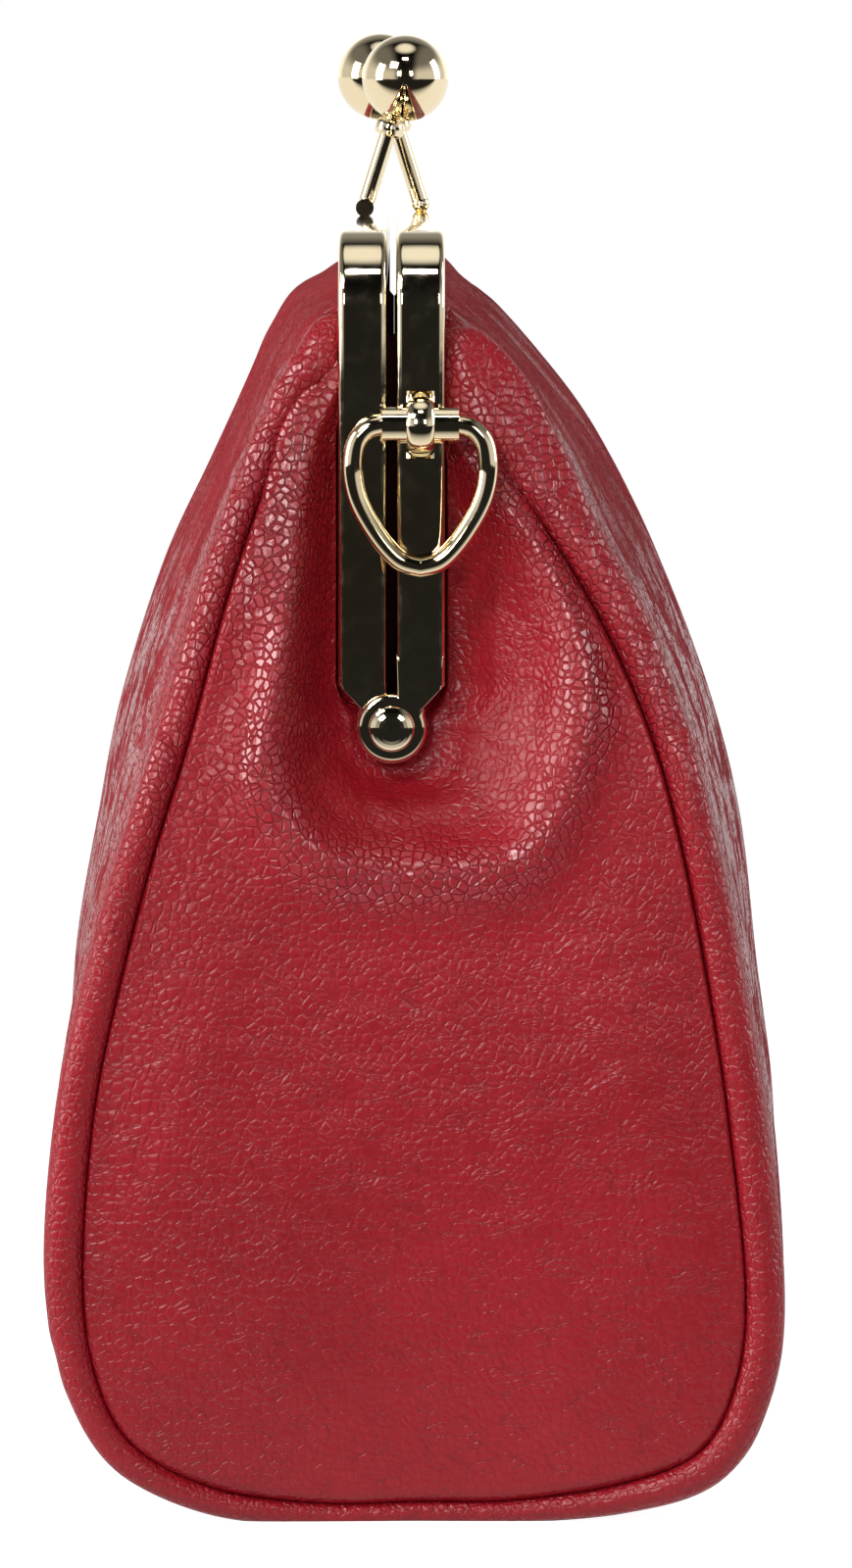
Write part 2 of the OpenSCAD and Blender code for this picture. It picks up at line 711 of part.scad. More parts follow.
front_panel();
rear_panel();
right_gusset();
left_gusset();
front_lining();
rear_lining();
base_board();
front_frame();
rear_frame();
front_frame_cord();
rear_frame_cord();
hinge_rivet_right();
hinge_rivet_left();
rivet_washer_right();
rivet_washer_left();
front_clasp_stem();
rear_clasp_stem();
front_ball_collar();
rear_ball_collar();
front_clasp_ball();
rear_clasp_ball();
ring_lug_right();
ring_lug_left();
ring_barrel_right();
ring_barrel_left();
strap_ring_right();
strap_ring_left();
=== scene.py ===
import math

import bmesh
import bpy
import numpy as np
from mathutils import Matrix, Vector


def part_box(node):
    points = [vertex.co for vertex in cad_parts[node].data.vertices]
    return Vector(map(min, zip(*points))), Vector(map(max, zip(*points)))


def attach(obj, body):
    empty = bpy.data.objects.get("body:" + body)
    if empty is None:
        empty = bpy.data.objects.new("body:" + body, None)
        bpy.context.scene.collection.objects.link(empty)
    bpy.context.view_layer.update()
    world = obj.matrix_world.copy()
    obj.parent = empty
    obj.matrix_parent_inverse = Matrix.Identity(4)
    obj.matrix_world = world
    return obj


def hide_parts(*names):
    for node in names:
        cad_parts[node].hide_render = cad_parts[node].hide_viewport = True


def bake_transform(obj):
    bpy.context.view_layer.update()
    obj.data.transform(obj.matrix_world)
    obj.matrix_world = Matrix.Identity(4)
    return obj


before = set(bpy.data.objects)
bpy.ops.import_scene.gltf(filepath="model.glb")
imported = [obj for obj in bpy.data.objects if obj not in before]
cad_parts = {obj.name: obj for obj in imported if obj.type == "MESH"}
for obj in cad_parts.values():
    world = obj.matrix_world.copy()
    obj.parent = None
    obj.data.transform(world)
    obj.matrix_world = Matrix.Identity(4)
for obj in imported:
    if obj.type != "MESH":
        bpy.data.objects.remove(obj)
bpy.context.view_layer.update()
MM = 0.001


# ---- Camera: a long lens at the end of the purse, a little above the middle of its height.
# The purse fills the upright picture from the clasp balls down to the table.
LOOK_AT = np.array([0.0, 1.1, 88.2]) * MM
CAMERA_DISTANCE = 2.22
CAMERA_RISE = math.radians(3.5)
LENS, SENSOR_HEIGHT = 254.4, 24.0
camera = bpy.data.objects.new("camera", bpy.data.cameras.new("camera"))
bpy.context.scene.collection.objects.link(camera)
camera.data.sensor_fit = "VERTICAL"
camera.data.sensor_height = SENSOR_HEIGHT
camera.data.lens = LENS
camera.location = LOOK_AT + CAMERA_DISTANCE * np.array([math.cos(CAMERA_RISE), 0.0, math.sin(CAMERA_RISE)])
camera.rotation_euler = (Vector(LOOK_AT) - camera.location).to_track_quat("-Z", "Y").to_euler()
camera.data.clip_end = 50.0
bpy.context.scene.camera = camera
bpy.context.scene.view_settings.view_transform = "Standard"


# ---- Leather panels: front and rear, cut from soft pebbled cowhide and held in shape by their seams alone.
# Each runs from the middle of the base up into the rail's channel. Beside the end seam the leather
# rolls over a folded allowance, so a soft round band stands along the whole seam.
def middle_of(node):
    """Middle of a CAD node's box, in millimetres to one place."""
    return np.round(np.mean(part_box(node), axis=0) / MM, 1).tolist()


FRONT, REAR = -1, 1
SIDE_NAME = {FRONT: "front", REAR: "rear"}
HALF = {FRONT: "front_frame_half", REAR: "rear_frame_half"}
ENDS = ((1, "right"), (-1, "left"))
_, FRAME_PLANE, HINGE_Z = middle_of("hinge_rivet_right")
LEATHER = 1.1
RAIL_UNDER = 157.5
# End seam from the middle of the base to the rail: distance from the middle, height, reach, width of the roll
SEAM = {
    FRONT: [
        (0, 2.6, 100, 3), (12, 2.4, 100.5, 3.1), (25.9, 4.4, 101.5, 3.6), (36.5, 10.2, 102.3, 4),
        (41.3, 20, 102.6, 4.4), (42.6, 33, 102.6, 5.1), (41.2, 52, 102.2, 5.1), (38, 68, 101.5, 5),
        (33.6, 85, 100, 4.8), (29, 100, 98.3, 4.6), (24.6, 116.4, 96, 4.4), (20.1, 130, 93.8, 4.5),
        (15.1, 142, 92, 4.8), (9.7, 147.5, 91, 4.6), (9.2, 152.5, 89.5, 3.6), (9.1, 156, 86, 2),
    ],
    REAR: [
        (0, 2.6, 100, 3), (12, 2.8, 100.5, 3.1), (26, 5, 101.5, 4), (36, 9.2, 102.3, 4.8),
        (40.6, 18, 102.6, 5), (41.8, 30, 102.6, 5.1), (39.8, 50, 102.2, 5.1), (37.3, 67, 101.5, 5),
        (33.9, 85, 100, 5), (29.9, 100, 98.3, 5.4), (23.6, 114.5, 96, 6.4), (16, 127, 93.8, 8),
        (9.2, 134.8, 92, 8.8), (3.2, 139.2, 91, 10), (2.7, 148.5, 89.6, 8), (2.5, 156, 86, 2),
    ],
}
# Line where each roll meets the panel, above the place where it lies square to the seam
SHOULDER = {
    FRONT: [(33.3, 101), (28.6, 117.5), (24.2, 131), (19, 143.2), (15.6, 149.4), (13.2, 153), (10.3, 154.8)],
    REAR: [(34.8, 101.4), (29.3, 116.2), (23, 127.4), (18.6, 137), (14.6, 144.4), (9.9, 150.4), (3.8, 154.8)],
}
SHOULDER_FROM, SHOULDER_EASE = 9, 1.5
# Outline at the middle of the length: distance from the middle, height
BELLY = {
    FRONT: [
        (0, 0), (18, 0), (33.6, 3.2), (42.2, 11.8), (45.8, 22.5), (47, 35), (46.6, 52), (45.4, 68), (42, 85),
        (38.8, 100), (33.5, 117), (27.3, 131), (22, 143.5), (19.6, 149.3), (16.4, 153.9), (10.8, 156.3),
    ],
    REAR: [
        (0, 0), (18, 0), (35, 3), (43.3, 11), (46.4, 22), (47.2, 35), (46.8, 51), (44.6, 67), (42.2, 85),
        (38.5, 100), (33.4, 115), (28.2, 127), (23.2, 135.5), (16.8, 143.3), (9.9, 150.9), (4.2, 156.2),
    ],
}
BELLY_POWER = 2.3
# The panel's last point, and the shares of its half length where the roll and the turned-in allowance start
PANEL_TOP, ROLL_AT, TURN_AT = 15, 0.74, 0.95
SEAM_TURN, ROLL_STANDS = 4.0, 2.7
# Groove between panel and roll: depth, and its place and width as shares of the length up to the roll
VALLEY, VALLEY_AT, VALLEY_WIDE = 0.9, 0.955, 0.022
# Top edge: where the rail's corner starts, its round, and how far the edge drops towards it
CORNER_FROM, CORNER_ROUND, CORNER_DROP = 85, 3, 1.6
TOP_CLOSE = 0.7


def through(points, t):
    """Catmull-Rom curve: each span is the cubic through its two points whose slopes are half the
    difference of the neighbours on either side. t counts the points, and may be any array."""
    p = np.asarray(points, float)
    t = np.asarray(t, float)
    last = len(p) - 1
    i = np.clip(np.floor(t).astype(int), 0, last - 1)
    f = (t - i)[..., None]
    a, b, c, d = p[np.maximum(i - 1, 0)], p[i], p[i + 1], p[np.minimum(i + 2, last)]
    return 0.5 * (2 * b + (c - a) * f + (2 * a - 5 * b + 4 * c - d) * f ** 2 + (3 * b - a - 3 * c + d) * f ** 3)


def smooth(t):
    """S-curve from 0 to 1: three t squared less two t cubed."""
    t = np.clip(t, 0.0, 1.0)
    return t * t * (3 - 2 * t)


def between(t, low, rise, high, fall):
    """1 between two limits: it comes up from the low one over rise, and goes down from the high one over fall."""
    return smooth((t - low) / rise) * (1 - smooth((t - high) / fall))


def facing(points, axis, way):
    """Unit normals of a grid of points: the cross product of its two slopes. Their sum along the axis
    points the given way."""
    n = np.cross(np.gradient(points, axis=0), np.gradient(points, axis=1))
    n = n / np.maximum(np.linalg.norm(n, axis=-1, keepdims=True), 1e-9)
    return n * np.sign(np.sum(n[..., axis]) * way)


def ripple(a, b, length, seed, kinds=7):
    """Sum of plane waves over two coordinates, with seeded directions, lengths near the given ones and
    seeded phases. length is the wave length along each coordinate. It stays between -1 and 1."""
    draw = np.random.default_rng(seed)
    total = np.zeros(np.broadcast(a, b).shape)
    for _ in range(kinds):
        turn = draw.uniform(0, 2 * np.pi)
        stretch = draw.uniform(0.65, 1.5)
        phase = draw.uniform(0, 2 * np.pi)
        along = a * np.cos(turn) / length[0] + b * np.sin(turn) / length[1]
        total += np.sin(2 * np.pi * stretch * along + phase)
    return total / kinds


def creased(a, b, length, seed, kinds=5):
    """Sharp-edged wrinkles: twice the mean size of seeded plane waves, each bowed by a longer wave across
    it, less the mean of that."""
    draw = np.random.default_rng(seed)
    total = np.zeros(np.broadcast(a, b).shape)
    for _ in range(kinds):
        turn, stretch, phase = draw.uniform(0, np.pi), draw.uniform(0.6, 1.6), draw.uniform(0, 2 * np.pi)
        along = a * np.cos(turn) / length[0] + b * np.sin(turn) / length[1]
        bow = 1.3 * np.sin(2 * np.pi * (a * np.sin(turn) - b * np.cos(turn)) / (2.6 * length[0]) + phase)
        total += np.abs(np.sin(np.pi * stretch * along + phase + bow))
    return 2 * total / kinds - 1.27


def place_piece(name, mesh, made):
    """Puts a finished mesh into the scene with its material."""
    piece = bpy.data.objects.new(name, mesh)
    bpy.context.scene.collection.objects.link(piece)
    mesh.materials.append(made)
    return piece


def sheet_piece(name, face, back, lie, made, laid):
    """Thick sheet: a grid of outer points, the same grid of inner points, and a flat rim round the four
    edges that joins them, in millimetres. lie is the outer grid's normals. laid holds what the finish reads
    over the surface: a vector for each point under each name."""
    n, m, _ = face.shape
    k = np.arange(n * m).reshape(n, m)
    cell = np.stack([k[:-1, :-1], k[1:, :-1], k[1:, 1:], k[:-1, 1:]], -1).reshape(-1, 4)
    loop = np.concatenate([k[0, :], k[1:, -1], k[-1, -2::-1], k[-2:0:-1, 0]])
    ahead = np.roll(loop, -1)
    rim = np.stack([loop, ahead, ahead + n * m, loop + n * m], -1)
    quads = np.concatenate([cell, cell[:, ::-1] + n * m, rim])
    way = np.cross(face[1:, :-1] - face[:-1, :-1], face[:-1, 1:] - face[:-1, :-1])
    if np.sum(way * lie[:-1, :-1]) < 0:
        quads = quads[:, ::-1]
    mesh = bpy.data.meshes.new(name)
    mesh.from_pydata(np.concatenate([face.reshape(-1, 3), back.reshape(-1, 3)]) * MM, [], quads)
    mesh.polygons.foreach_set("use_smooth", np.arange(len(quads)) < 2 * len(cell))
    for label, value in laid.items():
        both = np.concatenate([value.reshape(-1, 3)] * 2).astype(np.float32)
        mesh.attributes.new(label, "FLOAT_VECTOR", "POINT").data.foreach_set("vector", both.ravel())
    mesh.update()
    both = np.concatenate([lie.reshape(-1, 3), -lie.reshape(-1, 3)])
    corner = np.zeros((4 * len(quads), 3))
    corner[:8 * len(cell)] = both[quads[:2 * len(cell)].ravel()]
    mesh.normals_split_custom_set(corner)
    return place_piece(name, mesh, made)


def run_along(points, axis=0):
    """Distance in millimetres along rows of points from their start."""
    step = np.cumsum(np.linalg.norm(np.diff(points, axis=axis), axis=-1), axis=axis)
    return np.insert(step, 0, 0.0, axis=axis)


def panel_surface(side, u, w):
    """Panel over u, from the middle of the base to the rail, and w, from end to end. Between the two
    rolls it stands out from the line beside the roll to the belly line, by one less a power of the
    share of the length. Then comes half a round, and then the turned-in allowance. The top rows
    close on the rail."""
    u, w = u[:, None], w[None, :]
    q = np.abs(w)
    seam = through(SEAM[side], u)
    ahead = through(SEAM[side], np.minimum(u + 0.05, PANEL_TOP))
    behind = through(SEAM[side], np.maximum(u - 0.05, 0))
    along = (ahead - behind)[..., :2]
    along /= np.linalg.norm(along, axis=-1, keepdims=True)
    square = seam[..., :2] + np.stack([along[..., 1], -along[..., 0]], -1) * seam[..., 3:]
    drawn = through(SHOULDER[side], np.maximum(u - SHOULDER_FROM, 0))
    part = smooth((u - SHOULDER_FROM + SHOULDER_EASE) / SHOULDER_EASE)[..., None]
    shoulder = square * (1 - part) + drawn * part
    across = shoulder - seam[..., :2]
    roll = np.maximum(np.linalg.norm(across, axis=-1), 0.4)
    out_y, out_z = across[..., 0] / roll, across[..., 1] / roll
    belly = through(BELLY[side], u)
    bulge = np.minimum(roll / 2, ROLL_STANDS)
    share = np.minimum(q / ROLL_AT, 1)
    full = 1 - share ** BELLY_POWER
    y0, z0 = shoulder[..., 0], shoulder[..., 1]
    valley = VALLEY * np.exp(-((share - VALLEY_AT) / VALLEY_WIDE) ** 2) * between(u, 0, 2, 11, 3)
    flat = [seam[..., 2] * share, y0 + (belly[..., 0] - y0) * full - out_y * valley,
            z0 + (belly[..., 1] - z0) * full - out_z * valley]
    turn = np.pi * np.clip((q - ROLL_AT) / (TURN_AT - ROLL_AT), 0, 1)
    over = roll / 2 * (1 + np.cos(turn))
    deep = SEAM_TURN * np.maximum(q - TURN_AT, 0) / (1 - TURN_AT)
    edge = [seam[..., 2] + bulge * np.sin(turn) - deep, seam[..., 0] + out_y * over,
            seam[..., 1] + out_z * over]
    point = np.stack([np.where(q <= ROLL_AT, f, e) for f, e in zip(flat, edge)], -1)
    past = np.maximum(q - ROLL_AT, 0) / (1 - ROLL_AT)
    top_x = seam[..., 2] * share + 1.2 * past
    top_y = belly[..., 0] * (1 - past) + (seam[..., 0] + 0.3) * past
    bend = np.sqrt(np.maximum(CORNER_ROUND ** 2 - np.maximum(top_x - CORNER_FROM, 0) ** 2, 0))
    corner = CORNER_ROUND - bend + CORNER_DROP * smooth((top_x - CORNER_FROM + 25) / 24)
    top = np.stack(np.broadcast_arrays(top_x, top_y, belly[..., 1] - corner), -1)
    close = smooth((u - PANEL_TOP + TOP_CLOSE) / TOP_CLOSE)[..., None]
    point = point * (1 - close) + top * close
    return np.stack([np.sign(w) * point[..., 0], side * point[..., 1], np.maximum(point[..., 2], 0)], -1)


def panel_folds(side, point, w):
    """How far the leather stands off its plain form: gathers below the rail, long soft drapes from the
    frame's corners, crinkles beside the upper seam, and puckers round the lower corners. Each is kept
    between heights, and between shares of the half length."""
    x, y, z = np.moveaxis(point, -1, 0)
    q = np.broadcast_to(np.abs(w)[None, :], x.shape)
    open_face = 1 - smooth((q - 0.6) / 0.12)
    gathers = 0.9 * between(z, 108, 36, 150, 6) * ripple(x, z, (19, 95), 31 + side) * open_face
    drapes = 1.2 * between(z, 18, 45, 120, 30) * ripple(x, z, (85, 120), 57 + side) * open_face
    upper = between(z, 112, 22, 146, 6) * between(q, 0.6, 0.12, 0.88, 0.05)
    crinkle = 0.42 * upper * creased(1.2 * x + 0.5 * z, y + z, (9, 6), 71 + side)
    lower = between(z, 3, 4, 20, 12) * between(q, 0.7, 0.05, 0.9, 0.04)
    pucker = 0.16 * lower * ripple(y * side - z, z, (6, 9), 83 + side)
    return gathers + drapes + crinkle + pucker


def add(tree, kind, settings=None, **inputs):
    """Adds one shader node, sets its options, and sets or links its inputs by name. A number after the
    last underscore of a name picks one of several inputs that share it."""
    node = tree.nodes.new(kind)
    for key, value in (settings or {}).items():
        setattr(node, key, value)
    for key, value in inputs.items():
        tail = key.rpartition("_")[2]
        socket = node.inputs[int(tail)] if tail.isdigit() else node.inputs[key.replace("_", " ")]
        if isinstance(value, bpy.types.NodeSocket):
            tree.links.new(value, socket)
        else:
            socket.default_value = value
    return node


def maths(tree, operation, *values):
    """One step of arithmetic on numbers or sockets."""
    numbered = {"v_%d" % i: value for i, value in enumerate(values)}
    return add(tree, "ShaderNodeMath", {"operation": operation}, **numbered).outputs[0]


def times(tree, first, *others):
    """Product of numbers or sockets."""
    for value in others:
        first = maths(tree, "MULTIPLY", first, value)
    return first


def span(tree, value, low, high, to_low=0.0, to_high=1.0):
    """Maps a value between two limits to another two, with an S-curve."""
    return add(tree, "ShaderNodeMapRange", {"interpolation_type": "SMOOTHSTEP"}, Value=value,
               From_Min=low, From_Max=high, To_Min=to_low, To_Max=to_high).outputs[0]


def noise(tree, place, scale, detail, **more):
    """Soft noise over a place: a value first, then a colour."""
    return add(tree, "ShaderNodeTexNoise", Vector=place, Scale=scale, Detail=detail, **more).outputs


def cells(tree, place, scale, feature="DISTANCE_TO_EDGE", randomness=1.0):
    """Irregular cells: the distance to their edges, or to their middles."""
    return add(tree, "ShaderNodeTexVoronoi", {"feature": feature}, Vector=place, Scale=scale,
               Randomness=randomness).outputs["Distance"]


def mixed(tree, share, none, full):
    """Goes from one colour to another by a share."""
    return add(tree, "ShaderNodeMix", {"data_type": "RGBA"}, Factor_0=share, A_6=none, B_7=full).outputs[2]


def parts(tree, vector):
    """The three numbers of a vector."""
    return add(tree, "ShaderNodeSeparateXYZ", Vector=vector).outputs


def stored(tree, label):
    """The vector that a piece stores for each point under a name."""
    return add(tree, "ShaderNodeAttribute", {"attribute_name": label}).outputs["Vector"]


def raised(tree, shader, height, depth, strength):
    """Bump of a depth in millimetres on the shader's normal."""
    bump = add(tree, "ShaderNodeBump", Strength=strength, Distance=depth * MM, Height=height).outputs[0]
    tree.links.new(bump, shader.inputs["Normal"])
    return bump


def finish(name, **values):
    """New material with its Principled shader's plain values set."""
    made = bpy.data.materials.new(name)
    made.use_nodes = True
    shader = made.node_tree.nodes["Principled BSDF"]
    for key, value in values.items():
        shader.inputs[key.replace("_", " ")].default_value = value
    return made, made.node_tree, shader


# Red leather: a body colour that drifts a little, with painted shade that makes it deeper red in the creases and
# pebble grooves
DEEP_RED, LIVELY_RED, CREASE_SHADE_RED = (0.25, 0.0062, 0.0125, 1), (0.295, 0.008, 0.016, 1), (0.14, 0.0025, 0.006, 1)
leather_finish, tree, shader = finish("red_pebbled_leather", Specular_IOR_Level=0.2, Coat_Roughness=0.25,
                                      Coat_IOR=1.55)
laid = stored(tree, "laid")
crowding, seam_run, seam_gap = parts(tree, stored(tree, "feel"))[:3]

# Its grain: domed pebbles where the leather is crowded, long thin creases where it is drawn flat, and small
# gathers across the line of a seam. Pebbles and pores are counted to the millimetre, gathers in radians to it.
PEBBLES, PORES, GATHERS = 0.84, 2.6, 4.2
# Long creases: turn, scale along each axis, width, share
CREASES = ((0.12, (0.17, 0.17, 0.5), 0.07, 1.0), (-0.22, (0.36, 0.36, 0.84), 0.1, 0.7))
CREASE_SHADE, CREASE_DEEP, PORE_DEEP, GATHER_HIGH = 0.65, 0.2, 0.06, 0.3
GRAIN_DEEP = 0.22
sway = noise(tree, laid, 0.3, 2.0)
bent = add(tree, "ShaderNodeVectorMath", {"operation": "ADD"}, v_0=sway["Color"], v_1=laid).outputs[0]
crowd = times(tree, crowding, span(tree, noise(tree, laid, 0.09, 2.0)[0], 0.25, 0.6, 0.55, 1.0))
slack = maths(tree, "SUBTRACT", 1.0, crowd)
pebble = cells(tree, bent, PEBBLES, randomness=0.85)
dome = span(tree, pebble, 0.0, 0.17)
groove = span(tree, pebble, 0.0, 0.1, 1.0, 0.0)
pore = cells(tree, bent, PORES, "F1")
drawn_lines = []
for turn, size, width, share in CREASES:
    drawn = add(tree, "ShaderNodeMapping", Vector=bent, Rotation=(turn, 0.0, 0.0), Scale=size).outputs[0]
    drawn_lines.append(span(tree, cells(tree, drawn, 1.0), 0.0, width, share, 0.0))
faint = span(tree, sway[0], 0.38, 0.66, 0.12, 1.0)
opened = times(tree, maths(tree, "MAXIMUM", *drawn_lines), slack, faint)
grooves = times(tree, groove, maths(tree, "MULTIPLY_ADD", crowd, 0.45, 0.22))
crease_shade_mask = maths(tree, "MINIMUM", maths(tree, "MULTIPLY_ADD", opened, CREASE_SHADE, grooves), 1.0)
wobble = times(tree, noise(tree, laid, 0.8, 1.0)[0], 14.0)
gather = maths(tree, "SINE", maths(tree, "MULTIPLY_ADD", seam_run, GATHERS, wobble))
by_seam = span(tree, seam_gap, 0.2, 2.6, 1.0, 0.0)
leaning = maths(tree, "MULTIPLY_ADD", noise(tree, laid, 0.42, 1.0)[0], 0.9, dome)
swell = times(tree, span(tree, pebble, 0.0, 0.4), slack, 0.2)
height = maths(tree, "MULTIPLY_ADD", leaning, maths(tree, "POWER", crowd, 1.4), swell)
height = maths(tree, "MULTIPLY_ADD", times(tree, pore, pore), -PORE_DEEP, height)
height = maths(tree, "MULTIPLY_ADD", opened, -CREASE_DEEP, height)
height = maths(tree, "MULTIPLY_ADD", times(tree, gather, by_seam), GATHER_HIGH, height)
body = mixed(tree, span(tree, noise(tree, laid, 0.035, 3.0)[0], 0.3, 0.7), DEEP_RED, LIVELY_RED)
# Painted shade: the crease mask mixes the body colour towards a deep red in the creases and the pebble grooves.
tree.links.new(mixed(tree, times(tree, crease_shade_mask, 0.75), body, CREASE_SHADE_RED), shader.inputs["Base Color"])
tree.links.new(raised(tree, shader, height, GRAIN_DEEP, 1.0), shader.inputs["Coat Normal"])

# Its gloss: the pebbles' tops are polished where the leather is crowded. Seen at a steep slant, only tops
# that stick out and are rubbed keep their shine.
turned = add(tree, "ShaderNodeLayerWeight", Blend=0.5).outputs["Facing"]
aslant = span(tree, turned, 0.72, 0.92)
tall = parts(tree, laid)[2]
rubbed = times(tree, span(tree, tall, 100.0, 134.0, 1.0, 0.35), span(tree, tall, 25.0, 70.0, 0.45, 1.0))
blotch = span(tree, noise(tree, laid, 0.16, 3.0, Roughness=0.7)[0], 0.36, 0.62, 0.1, 1.0)
lit = times(tree, span(tree, height, 0.2, 0.7), blotch)
shown = span(tree, times(tree, lit, rubbed), 0.12, 0.8)
hidden = times(tree, aslant, maths(tree, "SUBTRACT", 1.0, shown))
worn = maths(tree, "MULTIPLY_ADD", crease_shade_mask, 0.12, 0.28)
tree.links.new(maths(tree, "MULTIPLY_ADD", hidden, 0.6, worn), shader.inputs["Roughness"])
polish = times(tree, span(tree, crowding, 0.5, 0.95), span(tree, height, 0.45, 1.0))
seen = maths(tree, "MULTIPLY_ADD", hidden, -0.15, span(tree, turned, 0.25, 0.6, 1.0, 0.15))
tree.links.new(times(tree, maths(tree, "MULTIPLY_ADD", polish, 0.8, 0.2), seen), shader.inputs["Coat Weight"])

# Edge tucked into the channel: how far from the middle its outer and its inner face lie, and its rows
TUCK = {FRONT: (9.6, 9.15), REAR: (3.0, 2.55)}
TUCK_RISE = np.array([-0.45, -0.6, -0.45, -0.1, 1.5, 3.4])
# What the finish reads as the distance from the seam: half a round for each width of the roll, or far off
HALF_ROUND, FAR_OFF = 1.57, 50.0
u_rows = np.linspace(0, PANEL_TOP, 180)
half_cols = np.concatenate([np.linspace(0, ROLL_AT, 92)[:-1], np.linspace(ROLL_AT, TURN_AT, 22)[:-1],
                            np.linspace(TURN_AT, 1, 4)])
w_cols = np.concatenate([-half_cols[:0:-1], half_cols])
q = np.abs(w_cols)
for side in (FRONT, REAR):
    face = panel_surface(side, u_rows, w_cols)
    face = face + facing(face, 1, side) * panel_folds(side, face, w_cols)[..., None]
    face[..., 2] = np.maximum(face[..., 2], 0)
    wall, inside = TUCK[side]
    tucked = np.repeat(face[-1:], len(TUCK_RISE), axis=0)
    tucked[..., 1] = side * np.array([wall + 0.35, wall - 0.1, inside + 0.1, inside, inside, inside])[:, None]
    tucked[..., 2] += RAIL_UNDER - BELLY[side][-1][1] + TUCK_RISE[:, None]
    face = np.concatenate([face, tucked])
    lie = facing(face, 1, side)
    seam_roll = through(SEAM[side], np.linspace(0, PANEL_TOP, len(face)))[:, 3:]
    off_seam = np.maximum((TURN_AT - q) / (TURN_AT - ROLL_AT), 0) * HALF_ROUND * seam_roll
    off_seam = np.where(q > ROLL_AT, off_seam, FAR_OFF)
    tight = 0.9 - 0.5 * smooth((q - 0.68) / 0.06) * (1 - smooth((face[..., 2] - 60) / 50))
    run = np.broadcast_to(run_along(face[:, 0])[:, None], tight.shape)
    panel = sheet_piece(SIDE_NAME[side] + "_leather_panel", face, face - LEATHER * lie, lie, leather_finish,
                        {"laid": face, "feel": np.stack([tight, run, off_seam], -1)})
    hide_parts(SIDE_NAME[side] + "_panel")
    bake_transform(panel)


# ---- End pieces: one leather gusset at each end, slit from the top down to the hinge for the frame's legs.
# The slit's edge is tucked into the legs' channels, and the slack folds out in a soft ridge round the hinge.
# Each is made in two halves that meet below the hinge, one for each side of the frame.

# Ridge from below the hinge up to the top of the seam: distance across, height, reach
RIDGE = {
    FRONT: [
        (-2.8, 83, 103.8), (-6, 83.3, 103.8), (-9.2, 83.9, 103.8), (-12.3, 85.3, 103.7), (-15.2, 87.7, 103.6),
        (-17.6, 91, 103.4), (-19.2, 95.5, 103.1), (-19.4, 100, 102.7), (-18.2, 107.5, 101.8),
        (-17.1, 115, 100.4), (-16.1, 123, 98.6), (-15.2, 130.5, 96.6), (-13.4, 138, 94.8), (-9.6, 146.5, 93),
        (-9.1, 152, 92.4),
    ],
    REAR: [
        (-2.8, 83, 103.8), (1, 83, 103.8), (5.2, 83.1, 103.8), (9.5, 83.4, 103.7), (13, 84.8, 103.6),
        (16.3, 88, 103.5), (19, 93.5, 103.2), (21, 100, 102.8), (22, 106.5, 102), (21, 112.5, 100.6),
        (18.6, 119, 98.6), (15, 125.5, 96.4), (9.0, 132.6, 94.6), (3.4, 140.3, 92.6), (2.6, 148.5, 91.4),
    ],
}
GUSSET_TOP, HINGE_TURN = 14, 7
GUSSET_LIFT = 0.9
SLIT_SIDE, HINGE_SIDE = 7.1, 5.2
SLIT_TOP = {FRONT: 152.5, REAR: 147.5}
BEAD, BEAD_WIDE, BELLY_OUT, MOUND = 2.2, 5, 2.2, 1.7
# Tucked edge of the slit: off the frame's plane and reach in the legs' channels, then the same below the hinge
SLIT_EDGE = ((7.1, 88.6, 4.6, 90.9), (6.9, 87.8, 4.0, 90.8), (6.3, 87.5, 3.3, 90.7),
             (5.9, 87.7, 2.6, 90.7), (5.85, 88.6, 1.8, 90.7), (5.85, 91, 0.8, 90.7))


